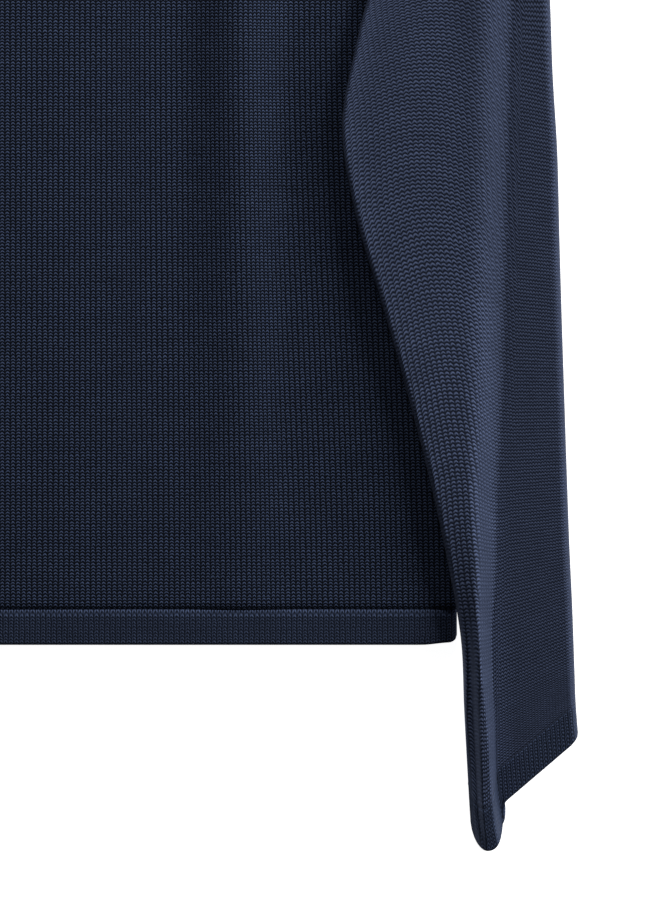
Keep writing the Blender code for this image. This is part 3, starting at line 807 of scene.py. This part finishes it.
def collar_round(run):
    """The way around the flattened neck, as the place across and how much the layer counts out and up."""
    straight = np.linspace(-run, run, COLLAR_ACROSS_POINTS)
    ends = np.linspace(math.pi / 2, -math.pi / 2, COLLAR_TURN_POINTS)
    around = [(x, 0.0, 1.0) for x in straight[::-1]]
    around += [(-run, -math.cos(a), math.sin(a)) for a in ends[1:-1]]
    around += [(x, 0.0, -1.0) for x in straight]
    around += [(run, math.cos(a), math.sin(a)) for a in ends[::-1][1:-1]]
    return around


def collar():
    """Every point of the section is carried once around the neck, on its own layer."""
    layers = COLLAR_SLIT + np.array([0.0, WALL, WALL + SEAM, 2 * WALL + SEAM])
    run = COLLAR_HALF - layers[3]
    turn, bend = (layers[0] + layers[3]) / 2, (layers[3] - layers[0]) / 2
    around = collar_round(run)
    points, stitches = [], []
    for kind, layer, t in collar_path(layers, turn, bend):
        ring, wales, walked, before = [], [], 0.0, None
        for base, out, up in around:
            x = base + out * layer
            inside = math.sqrt(max(0.0, 1 - (x / NECK_POINT[0]) ** 2))
            depth = FRONT_NECK_DEPTH if up > 0 else BACK_NECK_DEPTH
            neckline = NECK_POINT[1] + SEAM - depth * inside * abs(up)
            in_front = max(0.0, min(1.0, 3 * up - 2))  # 1 on the flat front, 0 behind
            lap = neckline - COLLAR_LAP * inside**2 * in_front
            top = COLLAR_TOP - bend + COLLAR_RISE * abs(base / run) ** 3
            y = {"up": neckline + (top - neckline) * t, "over": top + t, "down": top + (lap - top) * t}[kind]
            z = layers[3] + up * layer
            if before is not None:
                walked += math.hypot(x - before[0], z - before[1])
            before = (x, z)
            ring.append((x, y, z))
            wales.append(walked / WALE)
        points.append(ring)
        high = {"up": ring[0][1], "over": top + t, "down": 2 * top - ring[0][1]}[kind]
        wales.append(wales[-1] + CLOSING_WALE)
        stitches.append([(w, high / COURSE) for w in wales])
    points = np.array(points)
    spots = placed(points[..., 0], points[..., 1], points[..., 2])
    return cloth("collar_knit", spots, np.array(stitches), band_knit, around=True)


neck_collar = collar()
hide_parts("collar")

# %% [markdown]
# Everything rides on the one body of the frame.

# %% Ride
for piece in (front, back, hem, neck_collar, *sleeves.values(), *cuffs.values()):
    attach(piece, "root")

# %% [markdown]
# The floor is a plain white sheet. A large soft light stands low on the photo's right, so the raised sleeve
# shades the body beside it, and a weaker one fills from the photo's top.

# %% Floor and lights
FLOOR_DROP = 0.3 * MM
FLOOR_WHITE, FLOOR_GLOW = 0.9, 0.94
WORLD_LIGHT = 0.08
WHITE = (1.0, 1.0, 1.0, 1.0)
bpy.ops.mesh.primitive_plane_add(size=8, location=(0, 0, -FLOOR_DROP))
floor = bpy.context.object
floor.name = "floor"
floor_finish, floor_shader, _ = new_material("white floor", roughness=0.8)
floor_shader.inputs["Base Color"].default_value = (FLOOR_WHITE, FLOOR_WHITE, FLOOR_WHITE, 1.0)
floor_shader.inputs["Emission Color"].default_value = WHITE
floor_shader.inputs["Emission Strength"].default_value = FLOOR_GLOW
floor.data.materials.append(floor_finish)


def soft_light(name, azimuth, elevation, distance, size, power):
    """A square light aimed at the middle of the view; azimuth 0 is the photo's right, 90 its top."""
    data = bpy.data.lights.new(name, "AREA")
    data.shape, data.size, data.energy = "SQUARE", size, power
    light = bpy.data.objects.new(name, data)
    bpy.context.scene.collection.objects.link(light)
    a, e = math.radians(azimuth), math.radians(elevation)
    way = np.array([math.cos(a) * math.cos(e), math.sin(a) * math.cos(e), math.sin(e)])
    light.location = np.array([camera.location.x, camera.location.y, 0.0]) + way * distance
    light.rotation_euler = (math.pi / 2 - e, 0.0, a + math.pi / 2)
    print(name, [round(v, 2) for v in light.location])


soft_light("key", azimuth=26, elevation=22, distance=2.1, size=1.15, power=58)
soft_light("fill", azimuth=104, elevation=26, distance=1.7, size=0.8, power=10)
world = bpy.data.worlds.new("studio")
world.use_nodes = True
background = world.node_tree.nodes["Background"]
background.inputs["Color"].default_value = WHITE
background.inputs["Strength"].default_value = WORLD_LIGHT
bpy.context.scene.world = world
bpy.context.scene.view_settings.view_transform = "Standard"
